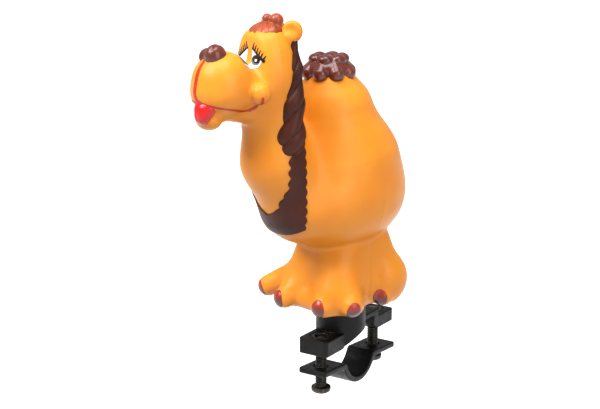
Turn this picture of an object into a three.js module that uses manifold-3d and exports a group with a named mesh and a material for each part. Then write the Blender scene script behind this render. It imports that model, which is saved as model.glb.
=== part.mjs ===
// A squeeze-bulb bicycle horn: a soft hollow camel on a black bracket that clamps to a handlebar.
// Millimetres, +Z up. The handlebar's axis is the X axis and the camel faces roughly along -Y.
import * as THREE from "three";
import { mergeVertices } from "three/addons/utils/BufferGeometryUtils.js";
import Module from "manifold-3d";

const wasm = await Module();
wasm.setup();

// ---------------------------------------------------------------- driving dimensions
const BAR_R = 11.1; // a 22.2 mm handlebar
const CLAMP_WIDTH = 14.2; // the bracket, along the bar
const GAP = 0.3; // between pieces that touch on the real object

const SCREW_Y = 21.8; // each clamp screw's distance from the bar's axis
const SCREW_R = 2.5; // M5
const SCREW_LENGTH = 22;
const HEAD_R = 4.25;
const HEAD_HEIGHT = 3.3;
// The face of each head that bears on the strap. Both screws are loose, the front one by more.
const FRONT_HEAD_TOP_Z = -11.2;
const REAR_HEAD_TOP_Z = -9.9;
const NUT_FLATS = 8.0; // thin nuts
const NUT_HEIGHT = 2.7;
const NUT_BORE_R = SCREW_R + 0.35;

const WING_TOP_Z = 11.5;
const FRONT_WING = { end: -28.8, bottom: 4.6 };
const REAR_WING = { end: 28.0, bottom: 5.6 };
const ARCH_R = 20; // the shallow hollow over the handlebar
const ARCH_TOP_Z = BAR_R + 0.1;
const WING_CORNER_R = 1.5;
const PLATE = { bottom: 12.5, top: 14.8, end: 14.4, wall: 3.8 };
const POCKET_Y = [4.2, PLATE.end - PLATE.wall];

const BOSS_Y = -6; // the boss stands forward of the bar
const BOSS_R = 10.8;
const BASE_Z = 24.1; // the camel's underside, on the shoulder of the boss
const FOOT_DROP = 1.3; // its feet, and the hem between them, hang below that
const FIGURE_TURN = THREE.MathUtils.degToRad(-14); // how far the camel is turned on the boss
const HEAD_TURN = THREE.MathUtils.degToRad(-7); // and its head, on the neck
const HEAD_AXIS_Y = -39;
const NECK_R = 8.6; // the boss's groove, which the rim of the camel's base sits in
const LIP_R = 10.3; // the barb that holds that rim
const LIP_BOTTOM_Z = BASE_Z + 2.8;
const LIP_TOP_Z = LIP_BOTTOM_Z + 4.2;
const SPIGOT_TOP_Z = LIP_TOP_Z + 4;
const SPIGOT_R = 7.2;
const BORE_R = 5.5;
const SOUND_HOLE_R = 3.8;
const BORE_FLOOR_Z = 19.5;

const STRAP_TILT = THREE.MathUtils.degToRad(-3.8); // the rear ear hangs lower than the front one
const STRAP_DROP = 0.8; // the loose strap's saddle hangs this far below the bar's axis
const STRAP = { front: -29.1, rear: 30.9, width: 13.6, top: -2.85, thickness: 2.5, innerR: 11.4, bendR: 0.8 };
const STRAP_HOLE_R = SCREW_R + 0.7;

const WALL = 2.4; // thickness of the soft bulb
const FIGURE_CELL = 3.35; // mesh spacing outside
const CAVITY_CELL = 5.2; // mesh spacing inside

// ---------------------------------------------------------------- solids
const asSolid = (geometry) => {
  const bare = geometry.clone();
  bare.deleteAttribute("normal");
  bare.deleteAttribute("uv");
  const merged = mergeVertices(bare, 1e-4);
  const mesh = new wasm.Mesh({
    numProp: 3,
    vertProperties: new Float32Array(merged.attributes.position.array),
    triVerts: new Uint32Array(merged.index.array),
  });
  return new wasm.Manifold(mesh);
};

const asGeometry = (solid) => {
  const mesh = solid.getMesh();
  const geometry = new THREE.BufferGeometry();
  const corners = new Float32Array(mesh.numVert * 3);
  for (let i = 0; i < mesh.numVert; i += 1) {
    for (let k = 0; k < 3; k += 1) {
      corners[i * 3 + k] = mesh.vertProperties[i * mesh.numProp + k];
    }
  }
  geometry.setAttribute("position", new THREE.BufferAttribute(corners, 3));
  geometry.setIndex(new THREE.BufferAttribute(new Uint32Array(mesh.triVerts), 1));
  return geometry;
};

const box = (low, high) => {
  const size = high.map((value, k) => value - low[k]);
  const middle = high.map((value, k) => (value + low[k]) / 2);
  return asSolid(new THREE.BoxGeometry(...size).translate(...middle));
};

const rodZ = (radius, bottom, top, x, y, sides = 32, topRadius = radius) => {
  const rod = new THREE.CylinderGeometry(topRadius, radius, top - bottom, sides);
  rod.rotateX(Math.PI / 2);
  return asSolid(rod.translate(x, y, (top + bottom) / 2));
};

const rodX = (radius, halfLength, y, z, sides) => {
  const rod = new THREE.CylinderGeometry(radius, radius, halfLength * 2, sides);
  rod.rotateZ(Math.PI / 2);
  return asSolid(rod.translate(0, y, z));
};

const hexZ = (flats, bottom, top, y) => {
  const hex = new THREE.CylinderGeometry(flats / Math.sqrt(3), flats / Math.sqrt(3), top - bottom, 6);
  hex.rotateX(Math.PI / 2);
  return asSolid(hex.translate(0, y, (top + bottom) / 2));
};

// ---------------------------------------------------------------- the camel as one implicit surface
// Every shape is a function of a point that gives its distance to the surface, negative inside.
// The camel's own axes: x to its left, y to its tail, z up from its underside at the boss.
const egg = (centre, radii) => (p) => {
  const q = p.map((value, k) => value - centre[k]);
  const near = Math.hypot(...q.map((value, k) => value / radii[k]));
  const slope = Math.hypot(...q.map((value, k) => value / (radii[k] * radii[k])));
  return (near * (near - 1)) / Math.max(slope, 1e-6);
};

// A rounded rod from a to b whose radius runs from ra to rb.
const limb = (a, b, ra, rb) => {
  const along = b.map((value, k) => value - a[k]);
  const length2 = along.reduce((sum, value) => sum + value * value, 0);
  return (p) => {
    const q = p.map((value, k) => value - a[k]);
    const dot = q.reduce((sum, value, k) => sum + value * along[k], 0);
    const t = Math.min(Math.max(dot / length2, 0), 1);
    return Math.hypot(...q.map((value, k) => value - t * along[k])) - (ra + (rb - ra) * t);
  };
};

const join = (softness, ...shapes) => (p) =>
  shapes.map((shape) => shape(p)).reduce((a, b) => {
    const near = Math.max(softness - Math.abs(a - b), 0) / softness;
    return Math.min(a, b) - (near * near * softness) / 4;
  });

const meet = (softness, ...shapes) => {
  const inverse = join(softness, ...shapes.map((shape) => (p) => -shape(p)));
  return (p) => -inverse(p);
};

const mirrored = (shape) => (p) => shape([Math.abs(p[0]), p[1], p[2]]);

// A shape that faces along -Y, turned with the head about the neck.
const onHead = (shape) => (p) => {
  const x = p[0];
  const y = p[1] - HEAD_AXIS_Y;
  const cosine = Math.cos(HEAD_TURN);
  const sine = Math.sin(HEAD_TURN);
  return shape([x * cosine + y * sine, HEAD_AXIS_Y - x * sine + y * cosine, p[2]]);
};

const HUMP_Y = -8; // the hump's top
const FACE_Y = -49.8; // the flat front of the face
const CROWN_Z = 119.6;

const hump = join(
  2,
  limb([0, -4, 66], [0, -6, 82], 22.4, 17.5),
  limb([0, -6, 82], [0, HUMP_Y + 0.8, 91.5], 17.5, 11.7),
);
const torso = join(8, egg([0, -3.5, 46.7], [25.6, 32.6, 22.2]), egg([0, -1.5, 59.5], [24, 27.1, 24.3]));
const trunk = join(7, torso, hump);
const neck = join(
  6,
  limb([0, -40.3, 98], [0, -37.8, 66], 11.9, 12.7),
  limb([0, -37.8, 66], [0, -26, 47], 12.7, 15),
);

const crown = egg([0, -41.7, 105], [13, 12.4, 17.8]);
const skull = meet(3, crown, (p) => FACE_Y - p[1], (p) => p[2] - CROWN_Z);
const snout = join(3, egg([0, -52, 96.2], [11.8, 12, 8.2]), egg([0, -62.4, 99.6], [12.2, 12, 12.7]));
const muzzle = join(2, snout, egg([0, -63.2, 96], [11.7, 11.5, 8.2]));
const head = onHead(join(2, skull, muzzle));
const jaw = onHead(join(3, limb([0, -50, 91.6], [0, -62, 90], 9.6, 5), egg([0, -68.9, 86.7], [6.3, 4.8, 4.5])));
const cheeks = onHead(mirrored(egg([12.1, -52.8, 96.5], [4.2, 4.2, 4.2])));
const nose = onHead(join(2, egg([1.6, -66.7, 110.9], [3.9, 4.1, 4.2]), egg([-3.4, -66.9, 110.2], [2.9, 3.6, 3.4])));
const tongue = onHead(egg([1.9, -70.9, 88.6], [5.3, 3.6, 5.4]));
const ears = onHead(
  mirrored(join(2, egg([9.2, -36.4, 118.4], [4.4, 3, 4.5]), limb([7, -37, 112], [8.6, -36.5, 117], 3.4, 2.4))),
);
const forelock = onHead(join(3, egg([0, -41.6, 117.6], [7.4, 6.3, 4.4]), egg([1.4, -39.4, 121.6], [5, 3.6, 3.4])));
const lock = join(
  3,
  limb([11.4, -37.4, 108], [11.3, -38.4, 92], 2.0, 4.0),
  limb([11.3, -38.4, 92], [11, -39.4, 76], 4.0, 5.2),
);
const FAR_LOCK_BACK = 1.4; // the right-hand lock hangs a little further back
const locks = (p) => lock([Math.abs(p[0]), p[0] < 0 ? p[1] - FAR_LOCK_BACK : p[1], p[2]]);

// The curls on the hump, as two low rings.
const humpTuft = join(3, egg([0, HUMP_Y, 101], [11, 11, 5]), egg([0, HUMP_Y, 103.8], [8.4, 8.4, 3.6]));

const TOE_R = 4.6;
const OUTER_LIFT = 1.2; // the outer toes stand a little higher

// One toe, from the foot to a tip at the level of the soles.
const toe = (root, tip, rootRadius, lift = 0) => {
  const reach = Math.hypot(tip[0] - root[0], tip[1] - root[1]);
  const back = (TOE_R * 0.75) / reach;
  const x = tip[0] - (tip[0] - root[0]) * back;
  const y = tip[1] - (tip[1] - root[1]) * back;
  return limb(root, [x, y, TOE_R * 0.95 - FOOT_DROP + lift], rootRadius, TOE_R);
};

const FRONT_TOES = [
  { side: 1, inner: [11.2, -24.5], outer: [23.4, -15.3] },
  { side: -1, inner: [-10.3, -27.3], outer: [-27.3, -21.9] },
];

const frontLeg = ({ side, inner, outer }) =>
  join(
    3,
    limb([7 * side, -8, 20], [10 * side, -13, 8], 9, 9),
    join(1.5, toe([8 * side, -11, 10], inner, 7), toe([12 * side, -10, 11.4], outer, 6.7, OUTER_LIFT)),
  );

const REAR_TOE_Z = 4.2 - FOOT_DROP;

const rearLegs = mirrored(
  join(
    2,
    join(5, egg([12.5, 13.9, 8.5], [8.9, 10.4, 11]), limb([10, 9, 26], [12, 12.5, 12], 7.5, 8.5)),
    join(3, limb([13, 14, 7], [16.4, 8.6, REAR_TOE_Z], 7, 4.2), limb([11, 14, 7], [9, 8, REAR_TOE_Z], 7, 4.2)),
  ),
);

const webs = join(3, limb([-8, -17, 3.2], [9, -16.5, 3.2], 5.2, 5.2), limb([9, -16.5, 3.2], [17, -10, 3.6], 5.2, 5.2));
const frontLegs = join(5, limb([0, -1, 24], [0, -1, 10], 16.4, 17.2), ...FRONT_TOES.map(frontLeg));
const legs = join(3, join(2.5, frontLegs, webs), rearLegs);

const coreShape = join(3, join(5, join(7, trunk, neck), head), legs);
const details = join(2.5, locks, nose, ears, forelock, humpTuft);
const camelShape = join(2, join(1.3, join(2.5, coreShape, jaw), cheeks, tongue), details);

const LOW = [-36, -84, -14];
const HIGH = [36, 36, 130];

// The closed mesh of a shape's surface: one point in each grid cell that the surface crosses.
const skin = (shape, cell) => {
  const count = HIGH.map((value, k) => Math.ceil((value - LOW[k]) / cell) + 1);
  const at = (i, j, k) => (i * count[1] + j) * count[2] + k;
  const place = (i, j, k) => [LOW[0] + i * cell, LOW[1] + j * cell, LOW[2] + k * cell];
  const values = new Float64Array(count[0] * count[1] * count[2]);
  for (let i = 0; i < count[0]; i += 1) {
    for (let j = 0; j < count[1]; j += 1) {
      for (let k = 0; k < count[2]; k += 1) values[at(i, j, k)] = shape(place(i, j, k));
    }
  }

  const corners = [0, 1, 2, 3, 4, 5, 6, 7].map((n) => [n & 1, (n >> 1) & 1, (n >> 2) & 1]);
  const edges = [[0, 1], [2, 3], [4, 5], [6, 7], [0, 2], [1, 3], [4, 6], [5, 7], [0, 4], [1, 5], [2, 6], [3, 7]];
  const points = [];
  const index = new Map();
  for (let i = 0; i < count[0] - 1; i += 1) {
    for (let j = 0; j < count[1] - 1; j += 1) {
      for (let k = 0; k < count[2] - 1; k += 1) {
        const v = corners.map(([a, b, c]) => values[at(i + a, j + b, k + c)]);
        const crossings = edges.filter(([a, b]) => v[a] < 0 !== v[b] < 0);
        if (crossings.length === 0) continue;
        const sum = [0, 0, 0];
        for (const [a, b] of crossings) {
          const t = v[a] / (v[a] - v[b]);
          for (let n = 0; n < 3; n += 1) sum[n] += corners[a][n] + t * (corners[b][n] - corners[a][n]);
        }
        const base = place(i, j, k);
        index.set(at(i, j, k), points.length);
        points.push(base.map((value, n) => value + (cell * sum[n]) / crossings.length));
      }
    }
  }

  // Each point slides along the slope onto the surface itself.
  const settled = points.map((start) => {
    let p = start;
    for (let round = 0; round < 3; round += 1) {
      const step = 0.05;
      const value = shape(p);
      const slope = [0, 1, 2].map((n) => {
        const q = [...p];
        q[n] += step;
        return (shape(q) - value) / step;
      });
      const size2 = Math.max(slope.reduce((sum, s) => sum + s * s, 0), 0.25);
      const move = Math.max(-0.3 * cell, Math.min(0.3 * cell, value / size2));
      p = p.map((c, n) => c - slope[n] * move);
    }
    return p;
  });

  const faces = [];
  const addQuad = (cells, flip) => {
    const q = cells.map((key) => index.get(key));
    if (flip) q.reverse();
    const far = (a, b) => Math.hypot(...settled[q[a]].map((value, n) => value - settled[q[b]][n]));
    if (far(0, 2) < far(1, 3)) faces.push(q[0], q[1], q[2], q[0], q[2], q[3]);
    else faces.push(q[0], q[1], q[3], q[1], q[2], q[3]);
  };
  for (let i = 1; i < count[0] - 1; i += 1) {
    for (let j = 1; j < count[1] - 1; j += 1) {
      for (let k = 1; k < count[2] - 1; k += 1) {
        const inside = values[at(i, j, k)] < 0;
        if (inside !== values[at(i + 1, j, k)] < 0) {
          addQuad([at(i, j - 1, k - 1), at(i, j, k - 1), at(i, j, k), at(i, j - 1, k)], !inside);
        }
        if (inside !== values[at(i, j + 1, k)] < 0) {
          addQuad([at(i - 1, j, k - 1), at(i - 1, j, k), at(i, j, k), at(i, j, k - 1)], !inside);
        }
        if (inside !== values[at(i, j, k + 1)] < 0) {
          addQuad([at(i - 1, j - 1, k), at(i, j - 1, k), at(i, j, k), at(i - 1, j, k)], !inside);
        }
      }
    }
  }
  const geometry = new THREE.BufferGeometry();
  geometry.setAttribute("position", new THREE.Float32BufferAttribute(settled.flat(), 3));
  geometry.setIndex(faces);
  return asSolid(geometry);
};

const camelBulb = () => {
  const outside = skin(camelShape, FIGURE_CELL);
  const cavity = skin((p) => Math.max(coreShape(p) + WALL, WALL - p[2]), CAVITY_CELL);
  const underFeet = box([LOW[0], LOW[1], LOW[2] - 5], [HIGH[0], HIGH[1], -FOOT_DROP]);
  const shoulderRoom = rodZ(BOSS_R + 0.4, LOW[2] - 5, 0, 0, 0, 40);
  const mouth = rodZ(NECK_R + GAP, -2, WALL + 3, 0, 0, 36);
  const socket = rodZ(LIP_R + 1.2, WALL, SPIGOT_TOP_Z + 5 - BASE_Z, 0, 0, 36);
  return outside.subtract(cavity).subtract(socket).subtract(underFeet).subtract(shoulderRoom).subtract(mouth);
};

// ---------------------------------------------------------------- bracket
const roundedBar = (from, to, bottom, top) => {
  const half = CLAMP_WIDTH / 2;
  const r = WING_CORNER_R;
  const outline = new THREE.Shape();
  outline.moveTo(-half + r, from);
  outline.lineTo(half - r, from);
  outline.absarc(half - r, from + r, r, -Math.PI / 2, 0);
  outline.lineTo(half, to - r);
  outline.absarc(half - r, to - r, r, 0, Math.PI / 2);
  outline.lineTo(-half + r, to);
  outline.absarc(-half + r, to - r, r, Math.PI / 2, Math.PI);
  outline.lineTo(-half, from + r);
  outline.absarc(-half + r, from + r, r, Math.PI, Math.PI * 1.5);
  const bar = new THREE.ExtrudeGeometry(outline, { depth: top - bottom, bevelEnabled: false, curveSegments: 4 });
  return asSolid(bar.translate(0, 0, bottom));
};

const bossPost = () => {
  const profile = [
    [0, FRONT_WING.bottom],
    [BOSS_R, FRONT_WING.bottom],
    [BOSS_R, BASE_Z - GAP],
    [NECK_R, BASE_Z - GAP],
    [NECK_R, LIP_BOTTOM_Z],
    [LIP_R, LIP_BOTTOM_Z],
    [LIP_R, LIP_BOTTOM_Z + 1],
    [SPIGOT_R, LIP_TOP_Z],
    [SPIGOT_R, SPIGOT_TOP_Z],
    [0, SPIGOT_TOP_Z],
  ];
  const post = new THREE.LatheGeometry(profile.map(([r, z]) => new THREE.Vector2(r, z)), 40);
  post.rotateX(Math.PI / 2);
  return asSolid(post.translate(0, BOSS_Y, 0));
};

const bracket = () => {
  const half = CLAMP_WIDTH / 2;
  const beyond = half + 10;
  const nutSeatZ = WING_TOP_Z - NUT_HEIGHT - GAP;
  let body = roundedBar(FRONT_WING.end, REAR_WING.end, FRONT_WING.bottom, WING_TOP_Z);
  body = body.add(box([-half, 0, WING_TOP_Z - 1], [half, PLATE.end, PLATE.top]));
  body = body.add(bossPost());
  body = body.subtract(rodX(ARCH_R, beyond, 0, ARCH_TOP_Z - ARCH_R, 96));
  body = body.subtract(box([-beyond, PLATE.end, 0], [beyond, REAR_WING.end + 1, REAR_WING.bottom]));
  // The pocket behind the boss is open underneath and at both sides.
  const pocket = box([-beyond, 0, 0], [beyond, POCKET_Y[1], PLATE.bottom]);
  body = body.subtract(pocket.subtract(rodZ(BOSS_R, -1, PLATE.bottom + 1, 0, BOSS_Y, 40)));
  for (const y of [-SCREW_Y, SCREW_Y]) {
    body = body.subtract(rodZ(SCREW_R + 0.4, 0, 30, 0, y, 20));
    body = body.subtract(hexZ(NUT_FLATS + 2 * GAP, nutSeatZ, WING_TOP_Z + 1, y));
  }
  body = body.subtract(rodZ(SOUND_HOLE_R, 0, 60, 0, BOSS_Y, 28));
  return body.subtract(rodZ(BORE_R, BORE_FLOOR_Z, 60, 0, BOSS_Y, 32));
};

const nut = (y) => {
  const block = hexZ(NUT_FLATS, WING_TOP_Z - NUT_HEIGHT, WING_TOP_Z, y);
  return block.subtract(rodZ(NUT_BORE_R, 0, 30, 0, y, 20));
};

// ---------------------------------------------------------------- reed, inside the boss
const REED = { tubeR: 5.2, innerR: 3.6, top: SPIGOT_TOP_Z + 2.1, blockLength: 15, tongueHalf: 1.4, tongueY: 0.35 };
const REED_FLOOR_Z = BORE_FLOOR_Z + GAP;
const REED_TOP_Z = REED_FLOOR_Z + REED.blockLength;
const WEDGE_Z = REED_TOP_Z - 4.5;
const TONGUE_THICKNESS = 0.3;

const reedHousing = () => {
  const flange = rodZ(SPIGOT_R, SPIGOT_TOP_Z + GAP, REED.top, 0, BOSS_Y, 32);
  const tube = rodZ(REED.tubeR, REED_FLOOR_Z, REED.top, 0, BOSS_Y, 32).add(flange);
  return tube.subtract(rodZ(REED.innerR, 0, 60, 0, BOSS_Y, 28));
};

// The half round block that the tongue beats on, with an air channel down its middle.
const reedBlock = () => {
  const rod = rodZ(REED.innerR - GAP, REED_FLOOR_Z, REED_TOP_Z, 0, BOSS_Y, 28);
  const half = rod.subtract(box([-9, BOSS_Y, 0], [9, BOSS_Y + 9, 60]));
  return half.subtract(box([-1, BOSS_Y - 2, REED_FLOOR_Z - 1], [1, BOSS_Y + 1, WEDGE_Z - 1]));
};

const reedTongue = () =>
  box(
    [-REED.tongueHalf, BOSS_Y + REED.tongueY, REED_FLOOR_Z + 2],
    [REED.tongueHalf, BOSS_Y + REED.tongueY + TONGUE_THICKNESS, REED_TOP_Z],
  );

const reedWedge = () => {
  const rod = rodZ(REED.innerR - GAP, WEDGE_Z, REED_TOP_Z, 0, BOSS_Y, 28);
  return rod.subtract(box([-9, BOSS_Y - 9, 0], [9, BOSS_Y + REED.tongueY + TONGUE_THICKNESS + GAP, 60]));
};

// ---------------------------------------------------------------- strap and screws
const clampStrap = () => {
  const { front, rear, width, top, thickness, innerR, bendR } = STRAP;
  const bottom = top - thickness;
  const outerR = innerR + thickness;
  const bendZ = top - bendR;
  const bendY = Math.sqrt((innerR + bendR) ** 2 - bendZ ** 2);
  const meets = Math.atan2(bendZ, bendY);
  const innerFrom = new THREE.Vector2(innerR * Math.cos(meets), innerR * Math.sin(meets));
  const outerMeets = Math.asin(bottom / outerR);
  const outline = new THREE.Shape();
  outline.moveTo(front, bottom);
  outline.lineTo(outerR * -Math.cos(outerMeets), bottom);
  outline.absarc(0, 0, outerR, Math.PI - outerMeets, Math.PI * 2 + outerMeets);
  outline.lineTo(rear, bottom);
  outline.lineTo(rear, top);
  outline.lineTo(bendY, top);
  outline.absarc(bendY, bendZ, bendR, Math.PI / 2, Math.PI + meets);
  outline.lineTo(innerFrom.x, innerFrom.y);
  outline.absarc(0, 0, innerR, Math.PI * 2 + meets, Math.PI - meets, true);
  outline.absarc(-bendY, bendZ, bendR, -meets, Math.PI / 2);
  outline.lineTo(front, top);
  const plate = new THREE.ExtrudeGeometry(outline, { depth: width, bevelEnabled: false, curveSegments: 28 });
  // The outline's first axis runs along Y and its second along Z.
  plate.translate(0, 0, -width / 2);
  plate.applyMatrix4(new THREE.Matrix4().set(0, 0, 1, 0, 1, 0, 0, 0, 0, 1, 0, 0, 0, 0, 0, 1));
  let strap = asSolid(plate);
  for (const y of [-SCREW_Y, SCREW_Y]) strap = strap.subtract(rodZ(STRAP_HOLE_R, -12, 4, 0, y, 24));
  return strap;
};

const clampScrew = (y, headTopZ) => {
  const shank = rodZ(SCREW_R, headTopZ - 0.5, headTopZ + SCREW_LENGTH, 0, y, 20);
  const rim = headTopZ - HEAD_HEIGHT * 0.55;
  const head = rodZ(HEAD_R, rim, headTopZ, 0, y, 28);
  const crown = rodZ(HEAD_R * 0.72, headTopZ - HEAD_HEIGHT, rim, 0, y, 28, HEAD_R);
  const slotHalf = 0.55;
  const slotTop = headTopZ - HEAD_HEIGHT + 1.2;
  const across = box([-2.3, y - slotHalf, headTopZ - 6], [2.3, y + slotHalf, slotTop]);
  const along = box([-slotHalf, y - 2.3, headTopZ - 6], [slotHalf, y + 2.3, slotTop]);
  return shank.add(head).add(crown).subtract(across).subtract(along);
};

// ---------------------------------------------------------------- assembly
const finish = (color, roughness, metalness) => new THREE.MeshStandardMaterial({ color, roughness, metalness });

const horn = new THREE.Group();
const figure = new THREE.Group();
figure.position.set(0, BOSS_Y, BASE_Z);
figure.rotation.z = FIGURE_TURN;
const strapGroup = new THREE.Group();
strapGroup.position.z = -STRAP_DROP;
strapGroup.rotation.x = STRAP_TILT;
horn.add(figure, strapGroup);

const place = (name, solid, material, parent = horn) => {
  const mesh = new THREE.Mesh(asGeometry(solid), material);
  mesh.name = name;
  parent.add(mesh);
};

place("camel_bulb", camelBulb(), finish(0xf29a36, 0.45, 0), figure);
place("clamp_bracket", bracket(), finish(0x2b2b2f, 0.5, 0));
place("reed_housing", reedHousing(), finish(0xe4e0d6, 0.5, 0));
place("reed_block", reedBlock(), finish(0xd8d2c4, 0.55, 0));
place("reed_wedge", reedWedge(), finish(0xcfc8b8, 0.55, 0));
place("reed_tongue", reedTongue(), finish(0xb9964a, 0.3, 1));
place("clamp_strap", clampStrap(), finish(0x2d2d31, 0.5, 0), strapGroup);
place("clamp_screw_front", clampScrew(-SCREW_Y, FRONT_HEAD_TOP_Z), finish(0x1d1c1c, 0.4, 0.8));
place("clamp_screw_rear", clampScrew(SCREW_Y, REAR_HEAD_TOP_Z), finish(0x1d1c1c, 0.4, 0.8));
place("clamp_nut_front", nut(-SCREW_Y), finish(0x262524, 0.45, 0.8));
place("clamp_nut_rear", nut(SCREW_Y), finish(0x262524, 0.45, 0.8));

export default horn;
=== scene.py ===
"""A squeeze-bulb bicycle horn: a soft vinyl camel on a black plastic clamp bracket.

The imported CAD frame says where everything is. Each visible piece is meshed here from a smooth shape of
its own, finely enough to carry its real edges, and gets a procedural material.
Shapes are in millimetres and meshes in metres.
"""

import math

import bpy
import numpy as np
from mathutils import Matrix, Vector


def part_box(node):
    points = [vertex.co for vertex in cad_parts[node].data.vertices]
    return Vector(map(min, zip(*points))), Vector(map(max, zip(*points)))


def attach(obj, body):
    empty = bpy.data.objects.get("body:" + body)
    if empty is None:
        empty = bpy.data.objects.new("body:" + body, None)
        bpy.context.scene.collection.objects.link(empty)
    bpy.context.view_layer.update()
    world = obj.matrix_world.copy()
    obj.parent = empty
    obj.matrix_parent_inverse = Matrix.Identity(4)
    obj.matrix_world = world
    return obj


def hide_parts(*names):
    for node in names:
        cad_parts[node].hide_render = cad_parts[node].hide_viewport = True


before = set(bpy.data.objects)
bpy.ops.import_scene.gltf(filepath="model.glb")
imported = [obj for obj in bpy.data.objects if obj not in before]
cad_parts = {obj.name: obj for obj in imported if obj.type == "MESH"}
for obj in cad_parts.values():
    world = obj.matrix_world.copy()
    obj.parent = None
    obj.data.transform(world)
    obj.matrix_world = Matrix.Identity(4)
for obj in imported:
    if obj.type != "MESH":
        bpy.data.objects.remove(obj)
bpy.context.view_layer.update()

MM = 0.001

# ---------------------------------------------------------------- places, from the frame


def node_box(node):
    """A node's lowest and highest corner, in millimetres."""
    low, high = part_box(node)
    return np.array(low) / MM, np.array(high) / MM


bracket_low, bracket_high = node_box("clamp_bracket")
strap_low, strap_high = node_box("clamp_strap")
screw_low, screw_high = node_box("clamp_screw_rear")
front_screw_low, front_screw_high = node_box("clamp_screw_front")
nut_low, nut_high = node_box("clamp_nut_rear")
reed_low, reed_high = node_box("reed_housing")
camel_low = node_box("camel_bulb")[0]

BOSS_Y = (reed_low[1] + reed_high[1]) / 2
FOOT_DROP = 1.3  # the soles hang this far below the shoulder that the camel stands on
BASE_Z = camel_low[2] + FOOT_DROP
FIGURE_TURN = math.radians(-14)  # the camel looks a little to one side of straight ahead
HEAD_TURN = math.radians(-7)  # and its head turns a little further on its neck
HEAD_AXIS_Y = -39.0
BOSS_R = bracket_high[0]
SPIGOT_TOP_Z = bracket_high[2]
BRACKET_HALF = 7.1
STRAP_HALF = strap_high[0]
SCREW_Y = (screw_low[1] + screw_high[1]) / 2
HEAD_R = screw_high[0]
SCREW_R = 2.5
HEAD_HEIGHT = 3.3
WING_TOP_Z = nut_high[2]
NUT_HEIGHT = nut_high[2] - nut_low[2]
NUT_FLATS = nut_high[0] * 2
GAP = 0.3

# ---------------------------------------------------------------- shapes
# A shape is a function of points, given as three rows of x, y and z, that returns each point's distance
# to the surface in millimetres, negative inside.


def egg(centre, radii, yaw=0.0, pitch=0.0):
    """An ellipsoid, turned about z by yaw and then about x by pitch, both in degrees."""
    cx, cy, cz = centre
    rx, ry, rz = radii
    sin_yaw, cos_yaw = math.sin(math.radians(yaw)), math.cos(math.radians(yaw))
    sin_pitch, cos_pitch = math.sin(math.radians(pitch)), math.cos(math.radians(pitch))

    def shape(p):
        x, y, z = p[0] - cx, p[1] - cy, p[2] - cz
        x, y = x * cos_yaw + y * sin_yaw, y * cos_yaw - x * sin_yaw
        y, z = y * cos_pitch + z * sin_pitch, z * cos_pitch - y * sin_pitch
        near = np.sqrt((x / rx) ** 2 + (y / ry) ** 2 + (z / rz) ** 2)
        slope = np.sqrt((x / rx**2) ** 2 + (y / ry**2) ** 2 + (z / rz**2) ** 2)
        return near * (near - 1) / np.maximum(slope, 1e-6)

    return shape


def limb(start, end, start_r, end_r):
    """A rounded rod whose radius runs from start_r to end_r."""
    along = [b - a for a, b in zip(start, end)]
    length2 = sum(value * value for value in along)

    def shape(p):
        x, y, z = p[0] - start[0], p[1] - start[1], p[2] - start[2]
        t = np.clip((x * along[0] + y * along[1] + z * along[2]) / length2, 0, 1)
        x, y, z = x - t * along[0], y - t * along[1], z - t * along[2]
        return np.sqrt(x * x + y * y + z * z) - (start_r + (end_r - start_r) * t)

    return shape


def soft_min(a, b, softness):
    near = np.maximum(softness - np.abs(a - b), 0) / softness
    return np.minimum(a, b) - near * near * softness / 4


def join(softness, *shapes):
    def shape(p):
        result = shapes[0](p)
        for other in shapes[1:]:
            result = soft_min(result, other(p), softness)
        return result

    return shape


def meet(softness, *shapes):
    """The space inside all of the shapes, with its edges rounded."""

    def shape(p):
        result = -shapes[0](p)
        for other in shapes[1:]:
            result = soft_min(result, -other(p), softness)
        return -result

    return shape


def outside(inner):
    return lambda p: -inner(p)


def cut(softness, body, *tools):
    return meet(softness, body, *[outside(tool) for tool in tools])


def mirrored(one_side):
    return lambda p: one_side(np.stack([np.abs(p[0]), p[1], p[2]]))


def slab(axis, low, high):
    middle, half = (low + high) / 2, (high - low) / 2
    return lambda p: np.abs(p[axis] - middle) - half


def block(softness, low, high):
    return meet(softness, *[slab(axis, low[axis], high[axis]) for axis in range(3)])


def rod(axis, radius, centre):
    """An endless round rod along an axis, through a centre given as its other two coordinates."""
    u, v = [k for k in range(3) if k != axis]
    return lambda p: np.hypot(p[u] - centre[0], p[v] - centre[1]) - radius


def peg(softness, radius, low, high, centre):
    """An upright round peg."""
    return meet(softness, rod(2, radius, centre), slab(2, low, high))


def hexagon(flats, centre_y):
    """An endless upright hexagonal rod with two flats facing along x."""

    def shape(p):
        x, y = np.abs(p[0]), np.abs(p[1] - centre_y)
        slanted = x * 0.5 + y * math.sqrt(0.75)
        return np.maximum(x, slanted) - flats / 2

    return shape


# ---------------------------------------------------------------- meshing
BLOCK = 8
NEAR_BLOCKS = 1.5
CHUNK = 300_000
CORNERS = np.array([[i, j, k] for k in (0, 1) for j in (0, 1) for i in (0, 1)])
EDGES = [(0, 1), (2, 3), (4, 5), (6, 7), (0, 2), (1, 3), (4, 6), (5, 7), (0, 4), (1, 5), (2, 6), (3, 7)]


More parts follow.
